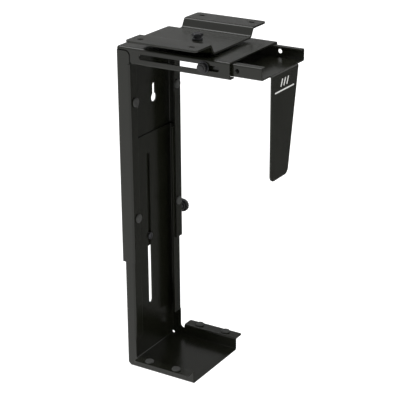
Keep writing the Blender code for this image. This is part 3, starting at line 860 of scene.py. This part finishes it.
def pads(prefix, count, axis, way, body):
    """Crowned round pads that stand off a lip in direction way."""
    steps = 6
    for number in range(1, count + 1):
        node = f"{prefix}_{number}"
        along, centre, half, radius = round_node(node, axis)
        centre[along] -= way * half
        tall = 2 * half
        shoulder = tall - 0.9
        rings = [(0, 0.0), (radius - 0.3, 0.0), (radius, 0.3), (radius, shoulder)]
        for i in range(1, steps + 1):
            t = math.pi / 2 * i / steps
            rings.append((radius - 0.8 * (1 - math.cos(t)), shoulder + 0.75 * math.sin(t)))
        rings += [(radius * 0.6, tall - 0.05), (0, tall)]
        rings = [(r, way * h) for r, h in rings]
        made = turned(node + "_crowned", rings, axis, centre, RUBBER, PAD_SIDES)
        stand_for(made, node, body)


def fluted(radius, depth, flutes=18):
    """The radius of a rim with round flutes cut into it."""
    def reach(angle):
        return radius - depth * abs(math.sin(angle * flutes / 2)) ** 3
    return reach


def knob_cap(prefix, way, body, bore_end):
    """A fluted head about y that faces way, with a ringed boss in the middle of its face."""
    node = prefix + "_knob_cap"
    low, high = local_box(node)
    radius = (high.x - low.x) / 2
    tall = high.y - low.y
    face = low.y if way > 0 else high.y
    centre = ((low.x + high.x) / 2, face, (low.z + high.z) / 2)
    bore = SCREW_RADIUS + 0.15
    flute = 0.08 * radius
    low_rim, high_rim, soft = 0.26 * tall, 0.6 * tall, 0.13 * radius
    low_steps, high_steps = 5, 6
    rings = [(0, bore_end), (bore, bore_end), (bore, 0.3), (bore + 0.3, 0.0)]
    rings += [(0.58 * radius, 0.0), (0.61 * radius, 0.3), (0.64 * radius, 0.12 * tall)]
    for i in range(low_steps + 1):
        t = math.pi / 2 * i / low_steps
        rings.append((fluted(radius - soft * (1 - math.sin(t)), flute * math.sin(t)),
                      low_rim - 0.1 * tall * math.cos(t)))
    rings.append((fluted(radius, flute), high_rim))
    for i in range(1, high_steps + 1):
        t = math.pi / 2 * i / high_steps
        rings.append((fluted(radius - soft * (1 - math.cos(t)), flute * math.cos(t)),
                      high_rim + 0.15 * tall * math.sin(t)))
    rings += [(0.76 * radius, 0.76 * tall), (0.69 * radius, 0.75 * tall), (0.65 * radius, 0.78 * tall)]
    rings += [(0.64 * radius, 0.92 * tall), (0.6 * radius, 0.97 * tall), (0.54 * radius, tall - 0.06)]
    rings += [(0.2 * radius, tall), (0, tall)]
    rings = [(r, way * h) for r, h in rings]
    made = turned(prefix + "_knob_fluted", rings, "y", centre, PLASTIC, KNOB_SIDES)
    return stand_for(made, node, body)


def knob_screw(prefix, body):
    """The knob's screw about y, threaded between its chamfered ends."""
    node = prefix + "_knob_screw"
    low, high = local_box(node)
    centre = ((low.x + high.x) / 2, low.y, (low.z + high.z) / 2)
    length = high.y - low.y
    chamfer = 0.5
    rings = [(0, 0.0), (SCREW_RADIUS - chamfer, 0.0), (SCREW_RADIUS, chamfer)]
    rings += threaded(SCREW_RADIUS, 0.35, 1.0, 0.6, length - 0.6)
    rings += [(SCREW_RADIUS, length - chamfer), (SCREW_RADIUS - chamfer, length), (0, length)]
    made = turned(prefix + "_knob_thread", rings, "y", centre, ZINC, THREAD_SIDES)
    return stand_for(made, node, body)


def tongue_stripe():
    """A plain pale stripe with three short bars over it, printed on the tongue."""
    mesh = bmesh.new()
    face = CLAMP_HIGH.x + INK_GAP
    marks = [stadium(STRIPE_Y[0], STRIPE_Z, STRIPE_Y[1], STRIPE_Z, STRIPE_RADIUS)]
    for i in range(BAR_COUNT):
        y = BAR_Y + i * BAR_STEP
        marks.append(stadium(y, BAR_Z[0], y + BAR_SLANT, BAR_Z[1], BAR_RADIUS))
    for outline in marks:
        prism_into(mesh, outline, "x", face, face + INK_THICK)
    made = make("tongue_stripe", mesh, (INK,))
    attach(made, "clamp_arm")


outer_bracket()
lower_bracket()
side_clamp()
desk_plate()
tongue_stripe()

pivot_bolt()
washer("pivot_collar_ring", "pivot_collar", "desk_bracket", BOLT_HOLE, "z")
washer("pivot_spacer_ring", "pivot_spacer", "desk_bracket", BOLT_HOLE, "z", COAT)
washer("pivot_under_ring", "pivot_under_washer", "desk_bracket", BOLT_HOLE, "z")
hex_nut("pivot_nut_turned", "pivot_lock_nut", "desk_bracket", BOLT_NUT_BORE, BOLT_FLATS, "z")
guide_stud()
hex_nut("guide_nut_turned", "guide_nut", "swivel_frame", GUIDE_HOLE, SMALL_FLATS, "x")
hex_nut("height_nut_turned", "height_weld_nut", "swivel_frame", SCREW_NUT_BORE, HEIGHT_NUT_FLATS, "y")
hex_nut("width_nut_turned", "width_weld_nut", "clamp_arm", SCREW_NUT_BORE, SMALL_FLATS, "y")
washer("width_washer_ring", "width_knob_washer", "width_knob", SCREW_HOLE, "y")
pads("upright_pad", 4, "x", 1, "swivel_frame")
pads("shelf_pad", 4, "z", 1, "lower_frame")
pads("clamp_pad", 2, "x", -1, "clamp_arm")
knob_cap("height", 1, "height_knob", HEIGHT_KNOB_BORE)
knob_screw("height", "height_knob")
knob_cap("width", -1, "width_knob", WIDTH_KNOB_BORE)
knob_screw("width", "width_knob")


# ------------------------------------------------------------------ stage, light, camera
WHITE = (1.0, 1.0, 1.0, 1.0)
STAGE_ROUGHNESS = 0.9
FLOOR_CENTRE = (0.0, 0.0, -1.8)
MIDDLE = (0.0, 0.0, -0.2)
UPRIGHT_MIDDLE = (0.0, 0.0, -0.3)

LENS = 116.65
SENSOR = 36.0
FAR_CLIP = 60.0
CAMERA_PLACE = (0.85834, -1.38532, 0.40886)
AZIMUTH = math.radians(31.485)
ELEVATION = math.radians(21.571)
ROLL = math.radians(-0.322)


def stage_plane(name, centre, facing, size, colour, glow=0.0, seen=True):
    """A flat card of the studio, facing a point; unseen ones only shade or reflect."""
    mesh = bmesh.new()
    half_x, half_y = size[0] / 2, size[1] / 2
    corners = ((-half_x, -half_y), (half_x, -half_y), (half_x, half_y), (-half_x, half_y))
    mesh.faces.new([mesh.verts.new((x, y, 0.0)) for x, y in corners])
    data = bpy.data.meshes.new(name)
    mesh.to_mesh(data)
    mesh.free()
    made = bpy.data.objects.new(name, data)
    made.location = centre
    made.rotation_mode = "QUATERNION"
    made.rotation_quaternion = (Vector(facing) - Vector(centre)).to_track_quat("Z", "Y")
    made.visible_camera = seen
    bpy.context.scene.collection.objects.link(made)
    paint = bpy.data.materials.new(name)
    paint.use_nodes = True
    shader = paint.node_tree.nodes["Principled BSDF"]
    shader.inputs["Base Color"].default_value = (colour, colour, colour, 1.0)
    shader.inputs["Roughness"].default_value = STAGE_ROUGHNESS
    shader.inputs["Specular IOR Level"].default_value = 0.0
    shader.inputs["Emission Color"].default_value = WHITE
    shader.inputs["Emission Strength"].default_value = glow
    data.materials.append(paint)


def softbox(name, place, target, size, power):
    """A soft rectangular light that faces a point."""
    data = bpy.data.lights.new(name, "AREA")
    data.shape = "RECTANGLE"
    data.size, data.size_y = size
    data.energy = power
    made = bpy.data.objects.new(name, data)
    made.location = place
    made.rotation_mode = "QUATERNION"
    made.rotation_quaternion = (Vector(target) - Vector(place)).to_track_quat("-Z", "Y")
    bpy.context.scene.collection.objects.link(made)


def studio():
    """A white tent with a pale floor, a soft box overhead, a grey ceiling card and a black card."""
    world_data = bpy.data.worlds.new("studio")
    world_data.use_nodes = True
    background = world_data.node_tree.nodes["Background"]
    background.inputs["Color"].default_value = WHITE
    background.inputs["Strength"].default_value = 1.0
    bpy.context.scene.world = world_data
    stage_plane("floor", FLOOR_CENTRE, (0.0, 0.0, 0.0), (30.0, 30.0), 0.85, glow=0.5)
    stage_plane("ceiling_card", (-1.2, 1.9, 0.9), MIDDLE, (3.2, 2.4), 0.31, seen=False)
    stage_plane("black_card", (1.2, 1.5, -1.0), UPRIGHT_MIDDLE, (3.0, 2.6), 0.17, seen=False)
    softbox("soft_key", (-1.0, -0.1, 1.5), MIDDLE, (0.9, 0.9), 12.0)
    bpy.context.scene.view_settings.view_transform = "Standard"


def camera():
    """A long lens that looks down on the front of the bracket."""
    data = bpy.data.cameras.new("camera")
    data.lens = LENS
    data.sensor_width = SENSOR
    data.clip_end = FAR_CLIP
    made = bpy.data.objects.new("camera", data)
    flat = math.cos(ELEVATION)
    back = Vector((math.sin(AZIMUTH) * flat, -math.cos(AZIMUTH) * flat, math.sin(ELEVATION)))
    made.location = CAMERA_PLACE
    made.rotation_mode = "QUATERNION"
    level = (-back).to_track_quat("-Z", "Y")
    made.rotation_quaternion = level @ Quaternion((0.0, 0.0, 1.0), ROLL)
    made.rotation_mode = "XYZ"
    bpy.context.scene.collection.objects.link(made)
    bpy.context.scene.camera = made


studio()
camera()
